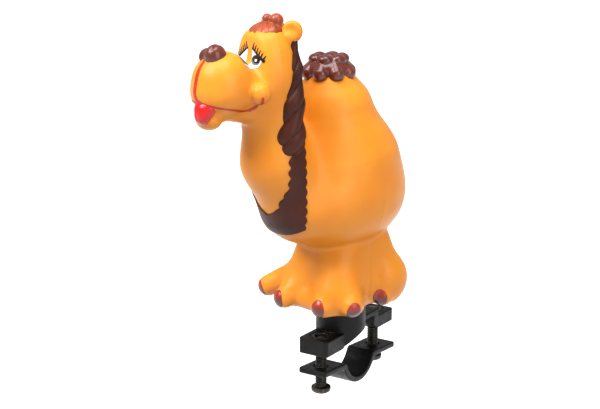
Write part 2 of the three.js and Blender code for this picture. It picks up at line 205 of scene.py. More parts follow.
def lattice_values(shape, low, counts, cell):
    """The shape's value at each lattice point. A block far from the surface takes its middle's value."""
    blocks = [-(-count // BLOCK) for count in counts]
    middles = (np.indices(blocks).reshape(3, -1) + 0.5) * BLOCK * cell + low[:, None]
    coarse = shape(middles.astype(np.float32)).reshape(blocks)

    def spread(grid):
        for axis in range(3):
            grid = grid.repeat(BLOCK, axis)
        return grid[: counts[0], : counts[1], : counts[2]]

    values = spread(coarse).astype(np.float32)
    wanted = np.argwhere(spread(np.abs(coarse) < BLOCK * cell * NEAR_BLOCKS))
    for start in range(0, len(wanted), CHUNK):
        some = wanted[start : start + CHUNK].T
        values[tuple(some)] = shape((some * cell + low[:, None]).astype(np.float32))
    return values


def surface_net(values, low, cell):
    """One point in each lattice cell that the surface crosses, and the quads between them."""
    inside = values < 0
    spans = [n - 1 for n in values.shape]

    def corner(grid, offset):
        return grid[tuple(slice(o, o + n) for o, n in zip(offset, spans))]

    total = sum(corner(inside, offset).astype(np.int8) for offset in CORNERS)
    cells = np.argwhere((total > 0) & (total < 8))
    index = np.full(spans, -1, np.int64)
    index[tuple(cells.T)] = np.arange(len(cells))
    ends = [values[tuple((cells + offset).T)] for offset in CORNERS]
    sums = np.zeros((len(cells), 3))
    crossings = np.zeros(len(cells))
    for a, b in EDGES:
        crosses = (ends[a] < 0) != (ends[b] < 0)
        t = np.where(crosses, ends[a] / np.where(crosses, ends[a] - ends[b], 1), 0)
        place = CORNERS[a] + t[:, None] * (CORNERS[b] - CORNERS[a])
        sums += place * crosses[:, None]
        crossings += crosses
    points = low + (cells + sums / crossings[:, None]) * cell

    quads = []
    for axis in range(3):
        u, v = (axis + 1) % 3, (axis + 2) % 3
        here = np.take(inside, range(spans[axis]), axis)
        there = np.take(inside, range(1, spans[axis] + 1), axis)
        edges = np.argwhere(here != there)
        kept = (edges[:, u] > 0) & (edges[:, v] > 0) & (edges[:, u] < spans[u]) & (edges[:, v] < spans[v])
        edges = edges[kept]
        step_u, step_v = np.eye(3, dtype=int)[u], np.eye(3, dtype=int)[v]
        around = [edges - step_u - step_v, edges - step_v, edges, edges - step_u]
        quad = np.stack([index[tuple(corner_cells.T)] for corner_cells in around], 1)
        leaving = here[tuple(edges.T)]
        quads.append(np.where(leaving[:, None], quad, quad[:, ::-1]))
    return points, np.concatenate(quads)


def slope_of(shape, points, step=0.02):
    """The shape's values and their slopes at points given as rows."""
    p = points.T
    value = shape(p)
    slope = np.empty_like(p)
    for axis in range(3):
        moved = p.copy()
        moved[axis] += step
        slope[axis] = (shape(moved) - value) / step
    return value, slope.T


def settle(points, shape, cell, rounds=3):
    """Slides each point along the slope onto the surface itself."""
    for _ in range(rounds):
        value, slope = slope_of(shape, points)
        size2 = np.maximum((slope**2).sum(1), 0.25)
        move = np.clip(value / size2, -0.3 * cell, 0.3 * cell)
        points = points - slope * move[:, None]
    return points


def surface(shape, low, high, cell):
    low, high = np.array(low, float), np.array(high, float)
    counts = np.ceil((high - low) / cell).astype(int) + 1
    points, quads = surface_net(lattice_values(shape, low, counts, cell), low, cell)
    return settle(points, shape, cell), quads


def new_piece(name, points, faces, body, material, marks=None):
    """A smooth object from points in millimetres. marks are numbers or places that the material reads."""
    mesh = bpy.data.meshes.new(name)
    mesh.vertices.add(len(points))
    mesh.vertices.foreach_set("co", (points * MM).astype(np.float32).ravel())
    sides = faces.shape[1]
    mesh.loops.add(faces.size)
    mesh.loops.foreach_set("vertex_index", faces.astype(np.int32).ravel())
    mesh.polygons.add(len(faces))
    mesh.polygons.foreach_set("loop_start", np.arange(len(faces), dtype=np.int32) * sides)
    mesh.polygons.foreach_set("use_smooth", np.ones(len(faces), dtype=bool))
    mesh.update(calc_edges=True)
    for label, values in (marks or {}).items():
        wide = values.ndim == 2
        attribute = mesh.attributes.new(label, "FLOAT_VECTOR" if wide else "FLOAT", "POINT")
        attribute.data.foreach_set("vector" if wide else "value", values.astype(np.float32).ravel())
    piece = bpy.data.objects.new(name, mesh)
    bpy.context.scene.collection.objects.link(piece)
    mesh.materials.append(material)
    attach(piece, body)
    return piece


# ---------------------------------------------------------------- the camel's own axes
# x to its left, y to its tail and z up from its underside on the bracket's boss.


def stand(points):
    """Points of the standing camel, from its own axes to the frame's."""
    x, y, z = points.T
    sin_turn, cos_turn = math.sin(FIGURE_TURN), math.cos(FIGURE_TURN)
    return np.stack([x * cos_turn - y * sin_turn, BOSS_Y + x * sin_turn + y * cos_turn, z + BASE_Z], 1)


def face_on(p):
    """Points in the axes of the head, which looks straight along -y there."""
    sin_turn, cos_turn = math.sin(HEAD_TURN), math.cos(HEAD_TURN)
    x, y = p[0], p[1] - HEAD_AXIS_Y
    return np.stack([x * cos_turn + y * sin_turn, HEAD_AXIS_Y - x * sin_turn + y * cos_turn, p[2]])


def on_head(shape):
    return lambda p: shape(face_on(p))


def camel_piece(name, shape, low, high, cell, material, marks=None):
    points, quads = surface(shape, low, high, cell)
    found = {"figure": points}
    for label, mark in (marks or {}).items():
        found[label] = mark(points.T)
    return new_piece(name, stand(points), quads, "camel", material, found)


def smooth_path(points, steps=6):
    """A Catmull-Rom curve through the points."""
    points = [np.array(point, float) for point in points]
    ends = [2 * points[0] - points[1], *points, 2 * points[-1] - points[-2]]
    path = []
    for a, b, c, d in zip(ends, ends[1:], ends[2:], ends[3:]):
        for t in np.arange(steps) / steps:
            bend = (2 * a - 5 * b + 4 * c - d) * t**2 + (3 * b - a - 3 * c + d) * t**3
            path.append(b + 0.5 * ((c - a) * t + bend))
    return [*path, points[-1]]


def ribbon(points, start_r, end_r):
    """A round cord along a smooth path, thinning evenly from start_r to end_r."""
    path = smooth_path(points)
    radii = np.linspace(start_r, end_r, len(path))
    return join(0.05, *[limb(a, b, ra, rb) for a, b, ra, rb in zip(path, path[1:], radii, radii[1:])])


def layer(footprint, raised, depth=0.5, softness=0.12):
    """A thin layer of paint or relief that lies on the skin, inside a footprint."""
    return meet(
        softness,
        footprint,
        lambda p: skin_shape(p) - raised,
        lambda p: -skin_shape(p) - depth,
    )


# ---------------------------------------------------------------- the camel's body
HUMP_Y = -8.0
FACE_Y = -49.8  # the flat front of the face
CROWN_Z = 119.6

hump = join(
    2,
    limb([0, -4, 66], [0, -6, 82], 22.4, 17.5),
    limb([0, -6, 82], [0, HUMP_Y + 0.8, 91.5], 17.5, 11.7),
)
torso = join(8, egg([0, -3.5, 46.7], [25.6, 32.6, 22.2]), egg([0, -1.5, 59.5], [24, 27.1, 24.3]))
trunk = join(7, torso, hump)
neck = join(
    6,
    limb([0, -40.3, 98], [0, -37.8, 66], 11.9, 12.7),
    limb([0, -37.8, 66], [0, -26, 47], 12.7, 15),
)
crown = egg([0, -41.7, 105], [13.0, 12.4, 17.8])
skull = meet(3, crown, lambda p: FACE_Y - p[1], lambda p: p[2] - CROWN_Z)
snout = join(3, egg([0, -52, 96.2], [11.8, 12, 8.2]), egg([0, -62.4, 99.6], [12.2, 12.0, 12.7]))
muzzle = join(2, snout, egg([0, -63.2, 96], [11.7, 11.5, 8.2]))
head = on_head(join(2, skull, muzzle))
jaw = on_head(join(3, limb([0, -50, 91.6], [0, -62, 90], 9.6, 5), egg([0, -68.9, 86.7], [6.3, 4.8, 4.5])))
cheeks = on_head(mirrored(egg([12.1, -52.8, 96.5], [4.2, 4.2, 4.2])))

TOE_R = 4.6
TOE_HEIGHT = TOE_R * 0.95 - FOOT_DROP
OUTER_LIFT = 1.2  # the outer toes stand a little higher
FRONT_TOES = [
    {"side": 1, "inner": [11.2, -24.5], "outer": [23.4, -15.3]},
    {"side": -1, "inner": [-10.3, -27.3], "outer": [-27.3, -21.9]},
]
REAR_TOE_R = 4.2
REAR_TOES = [{"root": [13, 14], "end": [16.4, 8.6]}, {"root": [11, 14], "end": [9, 8]}]


def toe(root, tip, root_r, lift=0.0):
    """One toe, from the foot to a tip at the level of the soles."""
    reach = math.hypot(tip[0] - root[0], tip[1] - root[1])
    back = TOE_R * 0.75 / reach
    end = [t - (t - r) * back for t, r in zip(tip, root)]
    return limb(root, [*end, TOE_HEIGHT + lift], root_r, TOE_R)


def front_leg(side, inner, outer):
    shin = limb([7 * side, -8, 20], [10 * side, -13, 8], 9, 9)
    toes = join(1.5, toe([8 * side, -11, 10], inner, 7), toe([12 * side, -10, 11.4], outer, 6.7, OUTER_LIFT))
    return join(3, shin, toes)


rear_toe_z = REAR_TOE_R - FOOT_DROP
rear_toe_shapes = [limb([*t["root"], 7], [*t["end"], rear_toe_z], 7, REAR_TOE_R) for t in REAR_TOES]
rear_legs = mirrored(
    join(
        2,
        join(5, egg([12.5, 13.9, 8.5], [8.9, 10.4, 11]), limb([10, 9, 26], [12, 12.5, 12], 7.5, 8.5)),
        join(3, *rear_toe_shapes),
    )
)
belly_post = limb([0, -1.0, 24], [0, -1, 10], 16.4, 17.2)
webs = join(3, limb([-8, -17, 3.2], [9, -16.5, 3.2], 5.2, 5.2), limb([9, -16.5, 3.2], [17, -10, 3.6], 5.2, 5.2))
front_legs = join(5, belly_post, *[front_leg(**toes) for toes in FRONT_TOES])
legs = join(3, join(2.5, front_legs, webs), rear_legs)


def mould_line(p):
    """A faint ridge where the halves of the mould met, round the legs and rump and over the head."""
    split_y = np.where(p[2] > 84, -43.5 - 0.12 * p[0], -0.2)
    ridge = np.exp(-(((p[1] - split_y) / 0.35) ** 2))
    off_neck = (p[2] < 66) | (p[2] > 96)
    return -0.16 * ridge * off_neck


def skin_shape(p):
    core = join(3, join(5, join(7, trunk, neck), head), legs)
    return join(1.3, join(2.5, core, jaw), cheeks)(p) + mould_line(p)


WALL = 2.4
MOUTH_R = 8.9
SOCKET_R = 11.5
SOCKET_TOP = SPIGOT_TOP_Z + 5 - BASE_Z
soles = slab(2, -FOOT_DROP, 200)
shoulder_room = peg(0.2, BOSS_R + 0.4, -20, 0, [0, 0])
base_mouth = peg(0.2, MOUTH_R, -20, WALL + 3, [0, 0])
base_socket = peg(0.5, SOCKET_R, WALL, SOCKET_TOP, [0, 0])


def make_camel_skin(material):
    shape = cut(0.3, meet(0.8, skin_shape, soles), shoulder_room, base_mouth, base_socket)
    return camel_piece("camel_skin", shape, [-36, -82, -4], [36, 36, 124], 0.72, material)


# ---------------------------------------------------------------- hair
EAR_YAW = 37


def make_ears(material):
    facing = np.array([math.sin(math.radians(EAR_YAW)), -math.cos(math.radians(EAR_YAW)), 0.1])
    centre = np.array([9.5, -36.0, 118.9])
    disc = egg(centre, [4.2, 2.2, 4.3], yaw=EAR_YAW)
    dish = egg(centre + facing * 2.9, [2.9, 1.9, 3.1], yaw=EAR_YAW)
    stalk = limb([7.0, -37, 112], [8.5, -36.8, 116.5], 3.4, 2.4)
    ears = on_head(mirrored(join(2, cut(1.2, disc, dish), stalk)))
    camel_piece("camel_ears", ears, [-17, -46, 108], [17, -30, 125], 0.35, material)


def make_nose(material):
    lobes = join(0.5, egg([1.7, -66.3, 110.7], [3.9, 4.4, 4.7]), egg([-3.4, -66.7, 109.9], [2.9, 3.6, 3.6]))
    bridge = egg([-1, -66.2, 110.6], [3.4, 3.6, 3.2])
    nostril = ribbon([[5.2, -69.2, 108.3], [3.8, -70.9, 108.6], [2.2, -71.1, 109.9]], 0.6, 0.45)
    crease = ribbon([[0.9, -62.8, 114.9], [2.4, -66.2, 115.3], [3.6, -69.4, 113.7]], 0.4, 0.3)
    shape = on_head(cut(0.5, join(1.0, lobes, bridge), mirrored(nostril), mirrored(crease)))
    camel_piece("camel_nose", shape, [-12, -74, 106], [6, -59, 117], 0.28, material)


def make_tongue(material):
    """It hangs out a little to the camel's left of the middle."""
    root = egg([1.9, -71.0, 91.4], [4.9, 3.9, 3.2], yaw=14)
    tip = egg([1.8, -72.0, 89.0], [3.9, 3.7, 4.3], yaw=14, pitch=-6)
    groove = ribbon([[2.6, -76.0, 94.0], [2.4, -76.5, 90.0], [2.2, -76.2, 85.0]], 1.1, 0.8)
    shape = on_head(cut(0.8, join(1.5, root, tip), groove))
    camel_piece("camel_tongue", shape, [-11, -77, 82], [5, -63, 96], 0.28, material)


def make_forelock(material):
    cap = egg([0, -41.9, 118.4], [7.4, 6.9, 3.6], pitch=16)

    def strands(p):
        angle = np.arctan2(p[0], -(p[1] + 41.5))
        ridges = np.abs(np.sin(5.5 * angle))
        return cap(p) - 0.35 * ridges

    curls = join(
        0.4,
        egg([-0.4, -41.0, 123.3], [2.0, 2.0, 2.0]),
        egg([2.9, -38.9, 122.7], [2.9, 2.8, 2.9], yaw=20),
        egg([-3.9, -38.4, 120.2], [2.5, 2.4, 2.3]),
        egg([0.2, -36.0, 119.6], [3.0, 2.6, 2.4]),
    )
    shape = on_head(join(0.5, strands, curls))
    camel_piece("camel_forelock", shape, [-10, -52, 110], [10, -30, 127], 0.3, material)


UPPER_CURLS = 6
LOWER_CURLS = 8


def make_hump_tuft(material):
    core = egg([0, HUMP_Y, 100.7], [9.6, 9.6, 5.2])
    curls = [egg([0.5, HUMP_Y, 105.3], [3.0, 3.0, 2.0])]
    for k in range(UPPER_CURLS):
        turn = 360 * k / UPPER_CURLS
        x, y = 5.6 * math.cos(math.radians(turn)), 5.6 * math.sin(math.radians(turn))
        curls.append(egg([x, HUMP_Y + y, 104.5], [3.0, 3.5, 2.5], yaw=turn))
    for k in range(LOWER_CURLS):
        turn = math.radians(360 * (k + 0.5) / LOWER_CURLS)
        top = [6.2 * math.cos(turn), HUMP_Y + 6.2 * math.sin(turn), 103.0]
        bottom = [8.4 * math.cos(turn), HUMP_Y + 8.4 * math.sin(turn), 99.3]
        curls.append(limb(top, bottom, 2.2, 3.4))
    shape = join(0.35, core, *curls)
    camel_piece("camel_hump_tuft", shape, [-14, -22, 94], [14, 6, 109], 0.3, material)


LOCK_PATH = [[10.8, -37.2, 115], [11.6, -37.4, 104], [11.3, -38.4, 92], [11.0, -39.4, 78], [11.0, -39.6, 74.5]]
LOCK_RADII = [1.0, 2.3, 4.0, 5.2, 4.6]
FAR_LOCK_BACK = 1.4  # the right-hand lock hangs a little further back
LOCK_STRANDS = 3
LOCK_TWIST_MM = 27.0
STRAND_DEPTH = 1.3


def mane_lock(p):
    """A twisted lock of hair that hangs beside the neck, one side only."""
    heights = [point[2] for point in LOCK_PATH][::-1]
    middle_x = np.interp(p[2], heights, [point[0] for point in LOCK_PATH][::-1])
    middle_y = np.interp(p[2], heights, [point[1] for point in LOCK_PATH][::-1])
    pieces = []
    for a, b, ra, rb in zip(LOCK_PATH, LOCK_PATH[1:], LOCK_RADII, LOCK_RADII[1:]):
        pieces.append(limb(a, b, ra, rb))
    around = np.arctan2(p[1] - middle_y, p[0] - middle_x) / (2 * math.pi)
    phase = (around * LOCK_STRANDS - p[2] * LOCK_STRANDS / LOCK_TWIST_MM) % 1.0
    bulge = 1 - np.sqrt(np.maximum(1 - (2 * phase - 1) ** 2, 0.0))
    body = join(3, *pieces)(p)
    return body + STRAND_DEPTH * (bulge - 0.35)


def make_mane_locks(material):
    def shape(p):
        back = np.where(p[0] < 0, FAR_LOCK_BACK, 0)
        return mane_lock(np.stack([np.abs(p[0]), p[1] - back, p[2]]))

    camel_piece("camel_mane_locks", shape, [-20, -48, 66], [20, -28, 118], 0.4, material)


BIB_MIDDLE_Y = -26.0  # the axis that the bib wraps round
BIB_R = 16.0
BIB_HALF = 17.2  # from the middle of the chest round to the bib's back edge


def bib_footprint(p):
    """The hair on the chest and up each side of the neck, by its distance round the neck and its height."""
    around = np.arctan2(np.abs(p[0]), -(p[1] - BIB_MIDDLE_Y)) * BIB_R
    heights = [30, 44.4, 46.0, 48.5, 52.0, 56.0, 60.0, 80.0]
    fronts = [-30, 0.0, 4.2, 6.6, 8.2, 10.8, 11.6, 12.0]
    front = np.interp(p[2], heights, fronts) - 0.9 * np.abs(np.sin(math.pi * p[2] / 4.4))
    back = BIB_HALF + 0.8 * np.abs(np.sin(math.pi * (p[2] - 1) / 4.0)) - 0.3
    lowest = 35.4 + 3.2 * np.clip(around / BIB_HALF, 0, 1.2) ** 3
    edges = np.maximum(np.maximum(front - around, around - back), lowest - p[2])
    return np.maximum(edges, np.maximum(p[2] - 76, p[1] + 24)) * 0.8


def make_bib(material):
    tufts = layer(bib_footprint, 0.55, softness=0.7)
    camel_piece("camel_bib", tufts, [-18, -48, 30], [18, -22, 78], 0.42, material)


# ---------------------------------------------------------------- eyes, mouth and nails
# A picture on the flat of the face: across runs outwards from the iris's middle and up runs upwards.
IRIS_X = 5.0
IRIS_Z = 108.3
LID_INNER = [-2.7, 4.4]
LID_OUTER = [4.1, 0.0]
LASH_COUNT = 6
RIGHT_EYE_IN = 1.4  # the right eye is painted nearer to the middle of the face
GAZE = [3.6, 3.4]  # and its iris lies inward and low, mostly out of its white


def on_face(p):
    """The places across and up in the eye's own picture of points on either side of the face."""
    x, _, z = face_on(p)
    return np.abs(x) - IRIS_X + RIGHT_EYE_IN * (x < 0), z - IRIS_Z


def stroke(start, end, start_r, end_r):
    """A tapered mark in the eye's picture."""
    du, dv = end[0] - start[0], end[1] - start[1]

    def shape(p):
        u, v = on_face(p)
        t = np.clip(((u - start[0]) * du + (v - start[1]) * dv) / (du * du + dv * dv), 0, 1)
        return np.hypot(u - start[0] - t * du, v - start[1] - t * dv) - (start_r + (end_r - start_r) * t)

    return shape


def under_lid(p):
    u, v = on_face(p)
    du, dv = LID_OUTER[0] - LID_INNER[0], LID_OUTER[1] - LID_INNER[1]
    return ((v - LID_INNER[1]) * du - (u - LID_INNER[0]) * dv) / math.hypot(du, dv)


def face_front(p):
    """Keeps the eye's picture on the front of the head."""
    return face_on(p)[1] + 42


white_footprint = meet(0.1, stroke([0.1, 0.1], [-2.7, 4.2], 3.3, 0.3), under_lid, face_front)


def gaze_picture(p):
    """Where each point of an eye is from the middle of its iris."""
    across, up = on_face(p)
    right_eye = face_on(p)[0] < 0
    return np.stack([across + GAZE[0] * right_eye, up + GAZE[1] * right_eye, up * 0], 1)


def make_eyes(material):
    shape = layer(white_footprint, 0.1)
    marks = {
        "picture": gaze_picture,
        "rim": white_footprint,
    }
    camel_piece("camel_eyes", shape, [-16, -58, 102], [12, -42, 116], 0.18, material, marks)


def make_lashes(material):
    marks = [stroke(LID_INNER, LID_OUTER, 0.3, 0.6)]
    for k in range(LASH_COUNT):
        t = k / (LASH_COUNT - 1)
        root = [a + (b - a) * (0.06 + 0.88 * t) for a, b in zip(LID_INNER, LID_OUTER)]
        tip = [root[0] + 0.7 + 0.3 * t, root[1] + 2.5 - 0.7 * t]
        marks.append(stroke(root, tip, 0.42, 0.16))
    shape = layer(meet(0.05, join(0.1, *marks), face_front), 0.2, softness=0.08)
    camel_piece("camel_lashes", shape, [-18, -58, 102], [15, -40, 118], 0.16, material)


# The mouth's painted lines. The smile and the cleft are given by degrees round from the front of the muzzle
# and height on the head, and the smile's end by places in the head's own axes, where it climbs the cheek.
MUZZLE_Y = -60.0
MOUTH_BACK_Y = -52.0
MOUTH_LOWEST_Z = 86.0
MM_PER_DEGREE = 0.2
SMILE = [[-4, 93.4], [4, 93.4], [13, 93.5], [39, 92.0], [61, 91.1], [90, 89.9], [106, 89.5], [120, 89.8]]
SMILE_END = [
    [8.0, -55.1, 89.9],
    [10.2, -53.2, 91.0],
    [12.9, -53.2, 92.1],
    [14.9, -53.8, 93.4],
    [16.1, -54.3, 95.2],
]
LIP_CLEFT = [[0, 110.0], [0.5, 105.2], [0.5, 102.2], [0, 99.1], [0.5, 96.3], [4, 94.6], [11, 93.6]]


def wrapped_line(points, start_r, end_r):
    """A painted line through places given by their turn round the muzzle and their height."""
    places = [[turn * MM_PER_DEGREE, height] for turn, height in points]

    def shape(p):
        across = np.degrees(np.arctan2(p[0], MUZZLE_Y - p[1])) * MM_PER_DEGREE
        nearest = np.full(across.shape, 1e3)
        for k, (a, b) in enumerate(zip(places, places[1:])):
            du, dz = b[0] - a[0], b[1] - a[1]
            t = np.clip(((across - a[0]) * du + (p[2] - a[1]) * dz) / (du * du + dz * dz), 0, 1)
            radius = start_r + (end_r - start_r) * (k + t) / (len(places) - 1)
            nearest = np.minimum(nearest, np.hypot(across - a[0] - t * du, p[2] - a[1] - t * dz) - radius)
        return nearest

    return shape


def make_mouth_line(material):
    smile = join(0.1, wrapped_line(SMILE, 0.55, 0.5), ribbon(SMILE_END, 0.85, 0.6))
    marks = join(0.3, mirrored(smile), wrapped_line(LIP_CLEFT, 0.95, 0.7))
    muzzle_only = meet(0.1, marks, lambda p: MOUTH_LOWEST_Z - p[2], lambda p: p[1] - MOUTH_BACK_Y)
    shape = layer(on_head(muzzle_only), 0.14, depth=0.3)
    camel_piece("camel_mouth_line", shape, [-17, -79, 87], [17, -52, 112], 0.24, material)


NAIL_HALF_WIDTH = 3.1
SIDE_NAIL = [-26.2, -22.9]  # the right outer toe carries its nail on its front side
SIDE_NAIL_AIM = -25  # in degrees from straight ahead


def toe_tips():
    """Each toe's middle near its tip, and the direction that it points, as degrees from straight ahead."""
    tips = []
    for foot in FRONT_TOES:
        for root_x, tip in ((8, foot["inner"]), (12, foot["outer"])):
            root = [root_x * foot["side"], -10.5]
            tips.append((tip, math.degrees(math.atan2(tip[0] - root[0], -(tip[1] - root[1])))))
    tips[-1] = (SIDE_NAIL, SIDE_NAIL_AIM)
    for rear in REAR_TOES:
        reach = [rear["end"][k] - rear["root"][k] for k in (0, 1)]
        aim = math.degrees(math.atan2(reach[0], -reach[1]))
        across, ahead = math.sin(math.radians(aim)), math.cos(math.radians(aim))
        tip = [rear["end"][0] + REAR_TOE_R * across, rear["end"][1] - REAR_TOE_R * ahead]
        tips.append((tip, aim))
        tips.append(([-tip[0], tip[1]], -aim))
    return tips


def make_nails(material):
    nails = [egg([*tip, 2.8], [NAIL_HALF_WIDTH, 3.7, 4.2], yaw=aim) for tip, aim in toe_tips()]
    shape = layer(meet(0.1, join(0.1, *nails), slab(2, -1.1, 20)), 0.16, softness=0.2)
    camel_piece("camel_nails", shape, [-34, -34, -3], [34, 12, 10], 0.25, material)


# ---------------------------------------------------------------- bracket
FRONT_END, REAR_END = bracket_low[1], bracket_high[1]
FRONT_BOTTOM = bracket_low[2]
REAR_BOTTOM = 5.6
ARCH_R = 20
ARCH_TOP_Z = 11.2
WING_CORNER_R = 1.5
PLATE = {"bottom": 12.5, "top": 14.8, "end": 14.4, "wall": 3.8}
NECK_R = 8.6
LIP_R = 10.3
LIP_BOTTOM_Z = BASE_Z + 2.8
LIP_TOP_Z = LIP_BOTTOM_Z + 4.2
SPIGOT_R = 7.2
BORE_R = 5.5
SOUND_HOLE_R = 3.8
BORE_FLOOR_Z = 19.5
EDGE = 0.5  # softness of a moulded edge


def rounded_plan(low, high, radius):
    """An endless upright bar whose plan is a rectangle with round corners."""
    middle, half = [(a + b) / 2 for a, b in zip(low, high)], [(b - a) / 2 for a, b in zip(low, high)]

    def shape(p):
        x = np.abs(p[0] - middle[0]) - half[0] + radius
        y = np.abs(p[1] - middle[1]) - half[1] + radius
        return np.hypot(np.maximum(x, 0), np.maximum(y, 0)) + np.minimum(np.maximum(x, y), 0) - radius

    return shape


def boss_shape():
    axis = [0, BOSS_Y]
    post = peg(EDGE, BOSS_R, FRONT_BOTTOM, BASE_Z - GAP, axis)
    neck_peg = peg(EDGE, NECK_R, BASE_Z - 2, LIP_TOP_Z - 1, axis)
    taper = limb([0, BOSS_Y, LIP_BOTTOM_Z - 30], [0, BOSS_Y, LIP_TOP_Z + 3], LIP_R + 12.5, SPIGOT_R - 2.5)
    lip = meet(EDGE, rod(2, LIP_R, axis), slab(2, LIP_BOTTOM_Z, LIP_TOP_Z), taper)
    spigot = peg(EDGE, SPIGOT_R, LIP_TOP_Z - 2, SPIGOT_TOP_Z, axis)
    return join(0.3, post, neck_peg, lip, spigot)


def bracket_shape():
    plan_low, plan_high = [-BRACKET_HALF, FRONT_END], [BRACKET_HALF, REAR_END]
    plan = rounded_plan(plan_low, plan_high, WING_CORNER_R)
    bar = meet(EDGE, plan, slab(2, FRONT_BOTTOM, WING_TOP_Z))
    plate = block(EDGE, [-BRACKET_HALF, 0, WING_TOP_Z - 1], [BRACKET_HALF, PLATE["end"], PLATE["top"]])
    arch = rod(0, ARCH_R, [0, ARCH_TOP_Z - ARCH_R])
    under_rear = block(EDGE, [-20, PLATE["end"], 0], [20, REAR_END + 5, REAR_BOTTOM])
    pocket = block(EDGE, [-20, 0, 0], [20, PLATE["end"] - PLATE["wall"], PLATE["bottom"]])
    pocket = cut(EDGE, pocket, rod(2, BOSS_R, [0, BOSS_Y]))
    body = cut(EDGE, join(0.3, bar, plate, boss_shape()), arch, under_rear, pocket)
    seat_z = WING_TOP_Z - NUT_HEIGHT - GAP
    for y in (-SCREW_Y, SCREW_Y):
        nut_pocket = meet(0.2, hexagon(NUT_FLATS + 2 * GAP, y), slab(2, seat_z, 20))
        body = cut(0.25, body, rod(2, SCREW_R + 0.4, [0, y]), nut_pocket)
    bore = meet(0.2, rod(2, BORE_R, [0, BOSS_Y]), slab(2, BORE_FLOOR_Z, 60))
    return cut(0.25, body, rod(2, SOUND_HOLE_R, [0, BOSS_Y]), bore)


def make_bracket(material):
    low = [-BOSS_R - 1, FRONT_END - 1, FRONT_BOTTOM - 1]
    high = [BOSS_R + 1, REAR_END + 1, SPIGOT_TOP_Z + 1]
    points, quads = surface(bracket_shape(), low, high, 0.3)
    piece = new_piece("horn_bracket", points, quads, "bracket", material)
    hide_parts("clamp_bracket")


# ---------------------------------------------------------------- strap
STRAP_TILT = math.radians(-3.8)
STRAP_DROP = 0.8  # the loose strap's saddle hangs this far below the bar's axis
STRAP = {"front": -29.1, "rear": 30.9, "top": -2.85, "thickness": 2.5, "inner_r": 11.4, "bend_r": 0.8}
STRAP_HOLE_R = SCREW_R + 0.7


def strap_shape(p):
    sin_tilt, cos_tilt = math.sin(STRAP_TILT), math.cos(STRAP_TILT)
    hung = p[2] + STRAP_DROP
    x, y, z = p[0], p[1] * cos_tilt + hung * sin_tilt, hung * cos_tilt - p[1] * sin_tilt
    above = -soft_min(STRAP["top"] - z, np.hypot(y, z) - STRAP["inner_r"], STRAP["bend_r"] * 2)
    sheet = np.maximum(above, -above - STRAP["thickness"])
    level = np.stack([x, y, z])
    plan = rounded_plan([-STRAP_HALF, STRAP["front"]], [STRAP_HALF, STRAP["rear"]], 1.2)(level)
    blank = -soft_min(-sheet, -plan, EDGE * 1.4)
    for centre in (-SCREW_Y, SCREW_Y):
        hole = np.hypot(p[0], p[1] - centre) - STRAP_HOLE_R
        blank = -soft_min(-blank, hole, 0.3)
    return blank


def make_strap(material):
    points, quads = surface(strap_shape, strap_low - 1, strap_high + 1, 0.3)
    piece = new_piece("handlebar_strap", points, quads, "strap", material)
    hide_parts("clamp_strap")


# ---------------------------------------------------------------- screws and nuts
PITCH = 0.8
THREAD_DEPTH = 0.44
THREAD_SIDES = 40
ROWS_PER_PITCH = 8


def thread_radius(turn, z, crest_r, depth):
    """A rolled thread's radius at an angle, in turns, and a height."""
    phase = (z / PITCH - turn) % 1.0
    wave = np.abs(2 * phase - 1)
    return crest_r - depth * np.clip(wave * 1.35 - 0.2, 0, 1)


def lathe(rows, centre_y):
    """Points and quads of a closed turned solid: rows of (height, radius at each side), bottom to top."""
    angles = np.arange(THREAD_SIDES) * 2 * math.pi / THREAD_SIDES
    rings = [[np.cos(angles) * r, centre_y + np.sin(angles) * r, np.full(THREAD_SIDES, z)] for z, r in rows]
    points = np.concatenate([np.stack(ring, 1) for ring in rings])
    side = np.arange(THREAD_SIDES)
    ahead = (side + 1) % THREAD_SIDES
    quads = []
    for k in range(len(rows) - 1):
        a, b = k * THREAD_SIDES, (k + 1) * THREAD_SIDES
        quads.append(np.stack([a + side, a + ahead, b + ahead, b + side], 1))
    return points, np.concatenate(quads)


def make_shank(name, body, centre_y, bottom, top, material):
    turns = np.arange(THREAD_SIDES) / THREAD_SIDES
    count = int((top - bottom) / PITCH * ROWS_PER_PITCH)
    rows = [(bottom, np.full(THREAD_SIDES, 1e-3))]
    for z in np.linspace(bottom, top, count):
        radius = thread_radius(turns, z, SCREW_R, THREAD_DEPTH)
        lead_in = 0.85 * np.clip(1 - (top - z) / 0.8, 0, 1)
        rows.append((z, radius - lead_in))
    rows.append((top, np.full(THREAD_SIDES, 1e-3)))
    points, quads = lathe(rows, centre_y)
    return new_piece(name, points, quads, body, material)


def head_shape(centre_y, bottom, top):
    """A pan head, cut across for a screwdriver."""
    pan = egg([0, centre_y, top - 0.9], [HEAD_R * 1.06, HEAD_R * 1.06, HEAD_HEIGHT - 0.9])
    blank = meet(0.35, rod(2, HEAD_R, [0, centre_y]), slab(2, bottom, top), pan)
    slot_top = bottom + 1.3
    half = 0.55
    across = block(0.15, [-2.3, centre_y - half, bottom - 5], [2.3, centre_y + half, slot_top])
    along = block(0.15, [-half, centre_y - 2.3, bottom - 5], [half, centre_y + 2.3, slot_top])
    return cut(0.2, blank, across, along)


def make_screw(side, centre_y, lowest, tip, material):
    name, body = f"clamp_screw_{side}", f"{side}_screw"
    head_top = lowest + HEAD_HEIGHT
    low = [-HEAD_R - 0.6, centre_y - HEAD_R - 0.6, lowest - 0.6]
    high = [HEAD_R + 0.6, centre_y + HEAD_R + 0.6, head_top + 0.6]
    points, quads = surface(head_shape(centre_y, lowest, head_top), low, high, 0.18)
    head_piece = new_piece(f"{name}_head", points, quads, body, material)
    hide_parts(name)
    make_shank(f"{name}_shank", body, centre_y, head_top - 0.4, tip, material)


